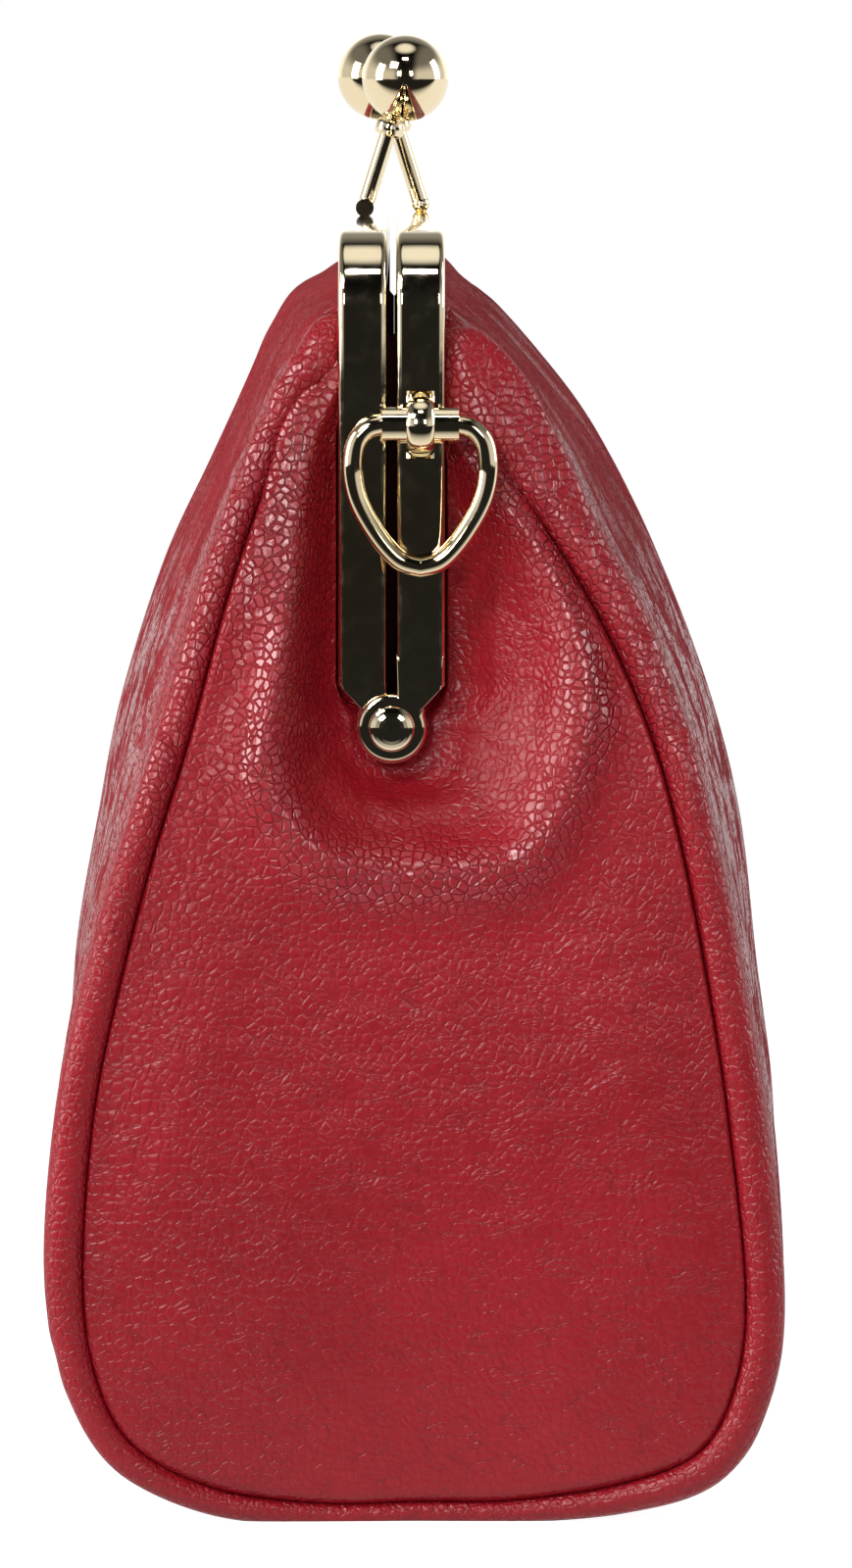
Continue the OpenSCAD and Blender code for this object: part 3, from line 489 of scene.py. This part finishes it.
def gusset_surface(s, toe, rise, dip):
    """End piece over s, along its seam from front to rear, and across it: toe is the turned-in allowance,
    rise goes from the seam to the ridge, dip from the ridge to the slit. The reach rises as a quarter
    round at the seam and a quarter sine to the ridge, with a round bead along the ridge, and falls as half
    a cosine into the slit, over a mound below the hinge."""
    seam = np.array([(-y, z, x) for y, z, x, _ in SEAM[FRONT][GUSSET_TOP:0:-1]]
                    + [(y, z, x) for y, z, x, _ in SEAM[REAR][:GUSSET_TOP + 1]])
    ridge = np.array(RIDGE[FRONT][GUSSET_TOP:0:-1] + RIDGE[REAR])
    a_y, a_z, a_x = through(seam, s + GUSSET_TOP).T
    c_y, c_z, c_x = through(ridge, s + GUSSET_TOP).T
    under = smooth((np.abs(s) - 10.8) / 1.4)
    a_y = a_y + np.where(s < 0, -1.5, 1.1) * under
    a_z = a_z + np.where(s < 0, 0.4, 1.2) * under
    angle = np.clip(s / HINGE_TURN, -1, 1) * np.pi / 2
    up = np.maximum(np.abs(s) - HINGE_TURN, 0) / (GUSSET_TOP - HINGE_TURN)
    top = np.where(s < 0, SLIT_TOP[FRONT], SLIT_TOP[REAR])
    mid_z = HINGE_Z + up * (top - HINGE_Z)
    leg = smooth((mid_z - HINGE_Z) / 6)
    slit = HINGE_SIDE + (SLIT_SIDE - HINGE_SIDE) * leg - 1.2 * smooth((up - 0.72) / 0.14)
    sink = np.where(s < 0, 0, 1.2) * smooth((up - 0.74) / 0.16)
    c_x = c_x - sink
    b_x = 91.2 - 1.4 * leg + 2.6 * smooth((up - 0.6) / 0.35) - sink
    b_y, b_z = FRAME_PLANE + slit * np.sin(angle), mid_z - slit * np.cos(angle)
    span_out = np.hypot(c_y - a_y, c_z - a_z)
    span_in = np.hypot(c_y - b_y, c_z - b_z)
    low = np.clip((span_out - 20) / 50, 0, 1)
    bead = BEAD * (1 - 0.7 * up) * np.clip(span_out / 12, 0.05, 1)
    edge = GUSSET_LIFT + np.clip(0.5 * (c_x - a_x), 0, 1.3)
    mound = MOUND * np.clip(1 - (s / 6) ** 2, 0, 1)
    run, far = run_along(np.stack([a_y, a_z], -1)), np.full(len(s), FAR_OFF)
    rows, feel = [], []
    for t in toe:
        rows.append((a_x + GUSSET_LIFT - SEAM_TURN * t, a_y, a_z))
        feel.append((0 * s + 0.3, run, 0 * s))
    for t in rise:
        round_edge = np.sqrt(1 - (1 - np.minimum(t * span_out / 2, 1)) ** 2)
        to_ridge = (1 - t) * span_out
        y, z = a_y + (c_y - a_y) * t, a_z + (c_z - a_z) * t
        x = (a_x + GUSSET_LIFT + (edge - GUSSET_LIFT) * round_edge
             + (c_x - bead - a_x - edge) * np.sin(np.pi / 2 * t)
             + BELLY_OUT * low * np.sin(np.pi * t) + bead * np.exp(-(to_ridge / BEAD_WIDE) ** 2))
        rows.append((x, y, z))
        crowded = 0.85 * np.exp(-(to_ridge / 7) ** 2) + 0.25 * (1 - low) + 0.22 * smooth((2 - y) / 34)
        feel.append((0.15 + crowded, run, 1.2 + t * span_out))
    for t in dip:
        fall = t ** 1.8 * (1 - t) + np.sin(np.pi / 2 * t) * t
        on_bead = np.exp(-(t * span_in / BEAD_WIDE) ** 2)
        x = (b_x + (c_x - bead - b_x) * (1 - fall) + bead * on_bead
             + mound * np.exp(-((t - 0.62) / 0.17) ** 2))
        rows.append((x, c_y + (b_y - c_y) * t, c_z + (b_z - c_z) * t))
        feel.append((0.25 + 0.75 * on_bead, run, far))
    for off, x_leg, shut, x_shut in SLIT_EDGE:
        r = off * leg + shut * (1 - leg)
        x = x_leg * leg + x_shut * (1 - leg)
        rows.append((x, FRAME_PLANE + r * np.sin(angle), mid_z - r * np.cos(angle)))
        feel.append((0 * s + 0.5, run, far))
    return np.moveaxis(np.array(rows), 1, -1), np.moveaxis(np.array(feel), 1, -1)


def gusset_folds(point, rise_share, dip_share):
    """Pull lines that run from the ridge into the slit, and slack creases across the drawn lower part."""
    y, z = point[..., 1], point[..., 2]
    round_hinge = np.arctan2(y - FRAME_PLANE, HINGE_Z - z) * 9
    off_hinge = np.hypot(y - FRAME_PLANE, z - HINGE_Z)
    pulls = 0.2 * np.sin(np.pi * dip_share)[:, None] * creased(round_hinge, off_hinge, (5.5, 16), 19)
    slack = 0.14 * np.sin(np.pi * rise_share)[:, None] * creased(0.35 * y, z, (5, 7), 23)
    return pulls + slack * (1 - smooth((z - 70) / 20))


s_cols = np.linspace(-GUSSET_TOP, GUSSET_TOP, 361)
toe_rows = np.array([1, 0.5, 0.02])
rise_rows = np.concatenate([np.linspace(0, 0.06, 12)[:-1], np.linspace(0.06, 1, 88)[:-1]])
dip_rows = np.linspace(0, 1, 48)
face, feel = gusset_surface(s_cols, toe_rows, rise_rows, dip_rows)
rise_share, dip_share = np.zeros(len(face)), np.zeros(len(face))
rise_end = len(toe_rows) + len(rise_rows)
rise_share[len(toe_rows):rise_end] = rise_rows
dip_share[rise_end:rise_end + len(dip_rows)] = dip_rows
face = face + facing(face, 0, 1) * gusset_folds(face, rise_share, dip_share)[..., None]
lie = facing(face, 0, 1)
middle = len(s_cols) // 2
HALF_PART = {FRONT: slice(0, middle + 1), REAR: slice(middle, None)}
for end, end_name in ENDS:
    hand = np.array([end, 1, 1])
    for side in (FRONT, REAR):
        part = HALF_PART[side]
        outer, out = face[:, part] * hand, lie[:, part] * hand
        half = sheet_piece(end_name + "_gusset_" + SIDE_NAME[side], outer, outer - LEATHER * out, out,
                           leather_finish, {"laid": outer, "feel": feel[:, part]})
        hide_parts(end_name + "_gusset")
        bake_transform(half)


# ---- Lining: a dark red cotton bag in two halves, sewn to the seam allowances and hung from the channels.
# It is cut a little large, so it hangs in slack folds a few millimetres inside the leather.
CLOTH = 0.4
# Half of the lining from the middle of the base up to the rail: depth, height, reach
LINING = [
    (0, 3.5, 92.8), (28.7, 3.7, 93.6), (38.3, 9.8, 95.9), (40.7, 31.9, 97), (39.5, 57.1, 95.9),
    (35.1, 79.2, 93.6), (29.5, 94.9, 83.4), (23.1, 113.8, 83), (16.7, 129.6, 83), (10.7, 142.2, 83),
    (5.9, 150.8, 83),
]
LINING_SIDE = 4.65
LINING_TUCK = np.array([155.9, 157.9, 161])
LEAN_FROM, LEAN_OVER = 104.8, 36.8
SLACK_DEEP = 1.1
DARK_THREAD, PALE_THREAD = (0.062, 0.006, 0.009, 1), (0.12, 0.014, 0.019, 1)
THREADS, WEAVE_DEEP = 11.0, 0.08


def lining_surface(side, u, h):
    """Half of the lining over u, from the base to the rail, and h, from end to end: each row is half of a
    rounded box, the square roots of a sine and of a cosine. Slack folds are added along the height."""
    row = through(LINING, u)[:, None]
    turn = np.pi / 2 * h[None, :]
    x = np.sign(turn) * np.sqrt(np.abs(np.sin(turn))) * row[..., 2]
    y = np.sqrt(np.abs(np.cos(turn))) * row[..., 0]
    z = np.broadcast_to(row[..., 1], x.shape)
    loose = between(z, 12, 30, 120, 30) * np.cos(turn) ** 2
    y = np.maximum(y - SLACK_DEEP * loose * (1 + ripple(x, z, (34, 90), 91 + side)), 0.02)
    lean = FRAME_PLANE * smooth((z - LEAN_FROM) / LEAN_OVER)
    bag = np.stack([x, side * y + lean, z], -1)
    hem = np.repeat(bag[-1:], len(LINING_TUCK), axis=0)
    hem[..., 1] = side * LINING_SIDE + FRAME_PLANE
    hem[..., 2] = LINING_TUCK[:, None]
    return np.concatenate([bag, hem])


cloth_finish, tree, shader = finish("dark_red_cotton", Roughness=0.85, Specular_IOR_Level=0.25, Sheen_Weight=0.25)
laid = stored(tree, "laid")
warp, weft = (maths(tree, "SINE", times(tree, thread, THREADS)) for thread in parts(tree, laid)[:2])
weave = maths(tree, "MULTIPLY_ADD", times(tree, warp, weft), 0.5, 0.5)
slub = noise(tree, laid, 0.4, 4.0)[0]
tree.links.new(mixed(tree, times(tree, weave, slub), DARK_THREAD, PALE_THREAD), shader.inputs["Base Color"])
raised(tree, shader, weave, WEAVE_DEEP, 0.6)
lining_rows, lining_cols = np.linspace(0, len(LINING) - 1, 90), np.linspace(-1, 1, 181)
for side in (FRONT, REAR):
    face = lining_surface(side, lining_rows, lining_cols)
    lie = facing(face, 1, side)
    across, up = run_along(face, 1), run_along(face, 0)
    half = sheet_piece(SIDE_NAME[side] + "_cotton_lining", face, face - CLOTH * lie, lie, cloth_finish,
                       {"laid": np.stack([across, up, 0 * up], -1)})
    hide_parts(SIDE_NAME[side] + "_lining")
    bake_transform(half)
    width, length = np.max(across) * MM, np.max(up) * MM


# ---- Base board: a plate of pressed fibre that lies loose between the leather and the lining.
# It keeps the base flat. It was die-cut, and its corners are rounded.
DARK_PULP, PALE_PULP = (0.11, 0.07, 0.035, 1), (0.24, 0.165, 0.09, 1)
FLECKS, FLECK_DEEP = 900.0, 0.1


def object_place(tree):
    """The place on the object, in metres."""
    return add(tree, "ShaderNodeTexCoord").outputs["Object"]


def coat(made, *nodes):
    """Puts a material on CAD nodes."""
    for label in nodes:
        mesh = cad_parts[label].data
        mesh.materials.clear()
        mesh.materials.append(made)


fibre, tree, shader = finish("pressed_fibre_board", Roughness=0.9, Specular_IOR_Level=0.2)
flecks = noise(tree, object_place(tree), FLECKS, 5.0, Roughness=0.7)[0]
pulp = mixed(tree, span(tree, flecks, 0.35, 0.65), DARK_PULP, PALE_PULP)
tree.links.new(pulp, shader.inputs["Base Color"])
raised(tree, shader, flecks, FLECK_DEEP, 0.5)
coat(fibre, "base_board")


# ---- Frame: two channels bent from brass strip, plated pale gold and polished, one for each side.
# Each is one piece: a rail, two corners, two legs and a flat lobe at each foot. The lobes overlap at the hinge.
FRAME_END, _, FRAME_TOP = np.round(np.array(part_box("front_frame")[1]) / MM, 1).tolist()
FRAME_BEND = 10.0
LEG_FOOT = 106.6
LEG_IN, LEG_OUT, CHANNEL_DEEP, SHEET = 0.6, 6.8, 7.0, 0.8
# Outer side of the channel from its lip to the middle of its face: across from the lip, in from the face.
# A shallow bevel runs along each edge of the face.
RIM = [(0, 7), (0, 0.8), (0.04, 0.56), (0.13, 0.37), (0.26, 0.22), (0.43, 0.1), (0.62, 0.03), (0.85, 0)]
# Lobe: its radius, where its edge leaves the round and meets the leg, and the height of the leg's shoulder
LOBE, LOBE_LEAVES, LOBE_JOINS, LOBE_SHOULDER = 4.5, (4.23, 1.53), (4.23, 2.6), 5.5
LOBE_MIDDLE = np.array([2.2, 1.6])
# Bevel round the lobe: in from its edge, in from its face
LOBE_BEVEL = ((1, 0), (0.85, 0), (0.62, 0.03), (0.43, 0.1), (0.26, 0.22), (0.1, 0.4), (0, 0.6), (0, SHEET))
PLATE_FACE = {FRONT: 94.1, REAR: 94.9}
PLATE_UP = {FRONT: 5.0, REAR: 4.0}
WARM_GOLD, PALE_GOLD = (0.86, 0.71, 0.45, 1), (0.92, 0.8, 0.56, 1)
CRISP = math.radians(28)


def shells(name, skins, made):
    """One mesh of several closed skins. Each is a row of outlines with the same number of points, joined
    one to the next, with a flat cap on the first and the last. Sharp edges stay crisp."""
    points, faces, first = [], [], 0
    for rows in skins:
        n, m, _ = rows.shape
        k = np.arange(n * m).reshape(n, m) + first
        ahead = np.roll(k, -1, axis=1)
        faces += np.stack([k[:-1], ahead[:-1], ahead[1:], k[1:]], -1).reshape(-1, 4).tolist()
        faces += [k[0, ::-1].tolist(), k[-1].tolist()]
        points.append(rows.reshape(-1, 3))
        first += n * m
    mesh = bpy.data.meshes.new(name)
    mesh.from_pydata(np.concatenate(points) * MM, [], faces)
    work = bmesh.new()
    work.from_mesh(mesh)
    bmesh.ops.recalc_face_normals(work, faces=work.faces)
    work.to_mesh(mesh)
    work.free()
    mesh.shade_smooth()
    mesh.set_sharp_from_angle(angle=CRISP)
    return place_piece(name, mesh, made)


def channel(side):
    """Channel of one half: its section carried up the leg at one end, round the corner, along the rail, and
    down the other leg. The section is drawn from the frame's middle plane, and in from the channel's face."""
    near = [(LEG_IN + a, d) for a, d in RIM]
    far = [(LEG_OUT - a, d) for a, d in RIM[::-1]]
    inside = [(LEG_OUT - SHEET, CHANNEL_DEEP), (LEG_OUT - SHEET, SHEET),
              (LEG_IN + SHEET, SHEET), (LEG_IN + SHEET, CHANNEL_DEEP)]
    section = np.array(near + far + inside)
    bend = np.linspace(0, np.pi / 2, 25)
    leg = np.linspace(LEG_FOOT, FRAME_TOP - FRAME_BEND, 5)[:-1]
    middle = FRAME_END - FRAME_BEND
    half_x = np.concatenate([0 * leg + FRAME_END, middle + FRAME_BEND * np.cos(bend), [middle / 2]])
    half_z = np.concatenate([leg, FRAME_TOP - FRAME_BEND + FRAME_BEND * np.sin(bend), [FRAME_TOP]])
    half_in = np.concatenate([0 * leg, bend, [np.pi / 2]])
    x, z = np.concatenate([half_x, -half_x[::-1]]), np.concatenate([half_z, half_z[::-1]])
    lean = np.concatenate([half_in, np.pi - half_in[::-1]])
    deep = section[None, :, 1]
    y = np.broadcast_to(FRAME_PLANE + side * section[None, :, 0], (len(x), len(section)))
    return np.stack([x[:, None] - np.cos(lean)[:, None] * deep, y,
                     z[:, None] - np.sin(lean)[:, None] * deep], -1)


def lobe(side, end):
    """Foot of a leg: a round plate about the hinge that widens to the leg above it. Its edge is bevelled."""
    start = np.arctan2(np.sqrt(LOBE ** 2 - LEG_IN ** 2), LEG_IN)
    turn = np.linspace(start, 2 * np.pi + np.arctan2(LOBE_LEAVES[1], LOBE_LEAVES[0]), 64)
    plate_top = LOBE_SHOULDER + PLATE_UP[side]
    across = np.concatenate([[LEG_IN], LOBE * np.cos(turn), [LOBE_JOINS[0], LEG_OUT, LEG_OUT]])
    up = np.concatenate([[plate_top], LOBE * np.sin(turn), [LOBE_JOINS[1], LOBE_SHOULDER, plate_top]])
    outline = np.stack([across, up], -1)
    away = (outline - LOBE_MIDDLE) / np.linalg.norm(outline - LOBE_MIDDLE, axis=-1, keepdims=True)
    inset, deep = np.array(LOBE_BEVEL).T[:, :, None]
    edge = outline - inset[..., None] * away
    x = np.broadcast_to(end * (PLATE_FACE[side] - deep), edge.shape[:2])
    return np.stack([x, FRAME_PLANE + side * edge[..., 0], HINGE_Z + edge[..., 1]], -1)


gilt, tree, shader = finish("pale_gold_plate", Metallic=1.0)
place = object_place(tree)
plate = mixed(tree, span(tree, noise(tree, place, 55.0, 3.0)[0], 0.3, 0.7), WARM_GOLD, PALE_GOLD)
tree.links.new(plate, shader.inputs["Base Color"])
handled = noise(tree, place, 420.0, 4.0)[0]
tree.links.new(span(tree, handled, 0.35, 0.75, 0.04, 0.11), shader.inputs["Roughness"])
for side in (FRONT, REAR):
    half = shells(SIDE_NAME[side] + "_channel_frame", [channel(side), lobe(side, 1), lobe(side, -1)], gilt)
    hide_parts(SIDE_NAME[side] + "_frame")
    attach(half, HALF[side])


# ---- Paper cords: twisted paper pressed into each channel with the leather and the lining, to wedge them fast.
# They lie inside the channels and don't show.
DARK_STRAW, PALE_STRAW = (0.36, 0.26, 0.14, 1), (0.58, 0.46, 0.29, 1)
STRANDS, STRAND_DEEP = 160.0, 0.15
paper, tree, shader = finish("twisted_paper", Roughness=0.95, Specular_IOR_Level=0.15)
strand = add(tree, "ShaderNodeTexWave", {"bands_direction": "DIAGONAL"}, Vector=object_place(tree),
             Scale=STRANDS, Distortion=1.0).outputs["Fac"]
tree.links.new(mixed(tree, strand, DARK_STRAW, PALE_STRAW), shader.inputs["Base Color"])
raised(tree, shader, strand, STRAND_DEEP, 0.5)
coat(paper, "front_frame_cord", "rear_frame_cord")


# ---- Hinge: a plated brass rivet through both lobes at each end of the frame.
# Its shank is pressed into the rear lobe and turns in the front one. Inside the pouch it is closed over
# a washer.
coat(gilt, "hinge_rivet_right", "hinge_rivet_left", "rivet_washer_right", "rivet_washer_left")


# ---- Kiss lock: two hollow brass balls, each on a collar and a bent wire that is brazed to its rail.
# The wires lean across the middle, so the balls snap past each other and hold the purse shut.
coat(gilt, "front_clasp_stem", "rear_clasp_stem", "front_ball_collar", "rear_ball_collar",
     "front_clasp_ball", "rear_clasp_ball")


# ---- Strap rings: one polished wire ring at each end, bent to a rounded wedge and closed inside its barrel.
# The barrel turns in a lug of bent strip on the rear leg, so the ring swings out and up.
WIRE, WIRE_SIDES = 2.6, 28
BARREL = middle_of("ring_barrel_right")
# Half of the wire's line from the barrel to the tip: distance across, drop
RING_LINE = [(2.5, 0), (4.9, 0), (6.8, 0.55), (8.1, 2.1), (8.6, 4.4), (8.55, 7), (7.9, 9.7), (6.5, 12.5),
             (4.5, 15.4), (2.4, 17.4), (0, 18.1)]
LUG_WIDE, LUG_SHEET, LUG_ROUND = 3.5, 0.9, 3.4
# Feet of the lug: above and below the barrel's middle, and off the leg's face. The strap leans at the inner one.
LUG_FOOT, LUG_BEND, LUG_OFF = 4.3, 3.2, 0.1
LUG_TURN, LUG_LEAN = math.radians(128), math.radians(50)


def tube(line, width, sides):
    """Round tube: a circle carried along a flat line of points, square to its direction at each point."""
    along = np.gradient(line, axis=0)
    along /= np.linalg.norm(along, axis=1, keepdims=True)
    flat = np.array([1.0, 0.0, 0.0])
    side = np.cross(along, flat)[:, None]
    turn = np.linspace(0, 2 * np.pi, sides, endpoint=False)[None, :, None]
    return line[:, None] + width / 2 * (np.cos(turn) * flat + np.sin(turn) * side)


def lug(end):
    """Strap bent round the barrel: its section, flat inside and crowned outside, is carried along a foot on
    the leg's face, round the barrel, and along the other foot."""
    turn = np.linspace(LUG_TURN, -LUG_TURN, 41)
    inner, foot_x = LUG_ROUND - LUG_SHEET, [FRAME_END + LUG_OFF] * 2
    x = np.concatenate([foot_x, BARREL[0] + inner * np.cos(turn), foot_x])[:, None]
    z = np.concatenate([[LUG_FOOT, LUG_BEND], inner * np.sin(turn), [-LUG_BEND, -LUG_FOOT]])[:, None]
    lean = np.concatenate([[0, LUG_LEAN], turn, [-LUG_LEAN, 0]])[:, None]
    across = np.linspace(-1, 1, 13)
    side = np.concatenate([across, across[::-1]]) * LUG_WIDE / 2
    crown = LUG_SHEET * (0.55 + 0.75 * np.sqrt(np.maximum(1 - across[::-1] ** 2, 0)))
    thick = np.concatenate([0 * across, crown])
    y = np.broadcast_to(BARREL[1] + side, (len(x), len(side)))
    return np.stack([end * (x + np.cos(lean) * thick), y, BARREL[2] + z + np.sin(lean) * thick], -1)


half_line = through(RING_LINE, np.linspace(0, len(RING_LINE) - 1, 90))
wire_line = np.concatenate([half_line, half_line[-2::-1] * np.array([-1, 1])])
for end, end_name in ENDS:
    line = np.stack([np.full(len(wire_line), end * BARREL[0]), BARREL[1] + wire_line[:, 0],
                     BARREL[2] - wire_line[:, 1]], -1)
    ring = shells(end_name + "_strap_ring_wire", [tube(line, WIRE, WIRE_SIDES)], gilt)
    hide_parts("strap_ring_" + end_name)
    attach(ring, end_name + "_ring")
    loop = shells(end_name + "_ring_loop", [lug(end)], gilt)
    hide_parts("ring_lug_" + end_name)
    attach(loop, HALF[REAR])
coat(gilt, "ring_barrel_right", "ring_barrel_left")


# ---- Studio: a white floor and background, with a soft box at each side and a key box at the upper left.
# Three small boxes in front and above light the end of the purse. The side behind the camera is left dark,
# so that flat polished faces turned to it stay dark.
FLOOR_HALF, FLOOR_WHITE = 6, (0.82, 0.82, 0.82, 1)
FLOOR_MATT, FLOOR_GLOW, SEEN_GLOW = 0.5, 1.1, 1.7
AMBIENT = 0.18
PURSE_MIDDLE = Vector((0, 0, 0.09))
# Lamps: place and size in metres, power in watts
SOFT_BOXES = {
    "left_box": ((0.3, -1.05, 0.45), (0.4, 0.7), 8),
    "right_box": ((-0.1, 1.1, 0.5), (0.4, 0.7), 5),
    "key_box": ((1.0, -0.7, 1.05), (0.5, 0.4), 9.8),
    "front_left_box": ((1.25, -0.36, 0.5), (0.16, 0.3), 4.0),
    "front_right_box": ((1.25, 0.36, 0.5), (0.16, 0.3), 1.6),
    "upper_box": ((0.8, 0, 1.3), (0.3, 0.16), 2),
}


def ray_kinds(tree):
    """1 for rays from the camera, and 1 for rays that polish or glass sends on."""
    rays = add(tree, "ShaderNodeLightPath").outputs
    return rays["Is Camera Ray"], maths(tree, "MAXIMUM", rays["Is Glossy Ray"], rays["Is Transmission Ray"])


floor_mesh = bpy.data.meshes.new("floor")
floor_mesh.from_pydata([(x * FLOOR_HALF, y * FLOOR_HALF, 0) for x, y in ((-1, -1), (1, -1), (1, 1), (-1, 1))],
                       [], [(0, 1, 2, 3)])
floor = bpy.data.objects.new("floor", floor_mesh)
bpy.context.scene.collection.objects.link(floor)
white = bpy.data.materials.new("white_floor")
white.use_nodes = True
tree = white.node_tree
tree.nodes.clear()
by_camera, mirrored = ray_kinds(tree)
near = span(tree, parts(tree, object_place(tree))[0], 0.1, 0.34, 0.9, 0.015)
shine = maths(tree, "MAXIMUM", times(tree, by_camera, SEEN_GLOW), near)
matt = add(tree, "ShaderNodeBsdfDiffuse", Color=FLOOR_WHITE).outputs[0]
glow = add(tree, "ShaderNodeEmission", Color=(1, 1, 1, 1), Strength=times(tree, shine, FLOOR_GLOW)).outputs[0]
glowing = maths(tree, "MULTIPLY_ADD", by_camera, -FLOOR_MATT, maths(tree, "MAXIMUM", by_camera, mirrored))
both = add(tree, "ShaderNodeMixShader", f_0=glowing, a_1=matt, b_2=glow).outputs[0]
tree.links.new(both, add(tree, "ShaderNodeOutputMaterial").inputs["Surface"])
floor_mesh.materials.append(white)

world = bpy.data.worlds.new("studio")
bpy.context.scene.world = world
world.use_nodes = True
tree = world.node_tree
by_camera, mirrored = ray_kinds(tree)
way = parts(tree, add(tree, "ShaderNodeTexCoord").outputs["Generated"])
beside = span(tree, maths(tree, "ABSOLUTE", way[1]), 0.26, 0.6, 0.015, 0.7)
above = span(tree, way[2], 0.92, 0.995)
beyond = span(tree, way[0], -0.8, -0.3, 1.2, 0.0)
low_walls = times(tree, maths(tree, "MAXIMUM", beside, beyond), span(tree, way[2], 0.2, 0.6, 1.0, 0.25))
walls = maths(tree, "MAXIMUM", low_walls, above)
plain = maths(tree, "SUBTRACT", 1.0, maths(tree, "MAXIMUM", by_camera, mirrored))
shine = maths(tree, "MULTIPLY_ADD", mirrored, walls, by_camera)
ground = tree.nodes["Background"]
ground.inputs["Color"].default_value = (1, 1, 1, 1)
tree.links.new(maths(tree, "MULTIPLY_ADD", plain, AMBIENT, shine), ground.inputs["Strength"])

for name, (place, size, watts) in SOFT_BOXES.items():
    lamp = bpy.data.lights.new(name, "AREA")
    lamp.shape = "RECTANGLE"
    lamp.size, lamp.size_y = size
    lamp.energy = watts
    box = bpy.data.objects.new(name, lamp)
    box.location = place
    box.rotation_euler = (PURSE_MIDDLE - Vector(place)).to_track_quat("-Z", "Y").to_euler()
    bpy.context.scene.collection.objects.link(box)
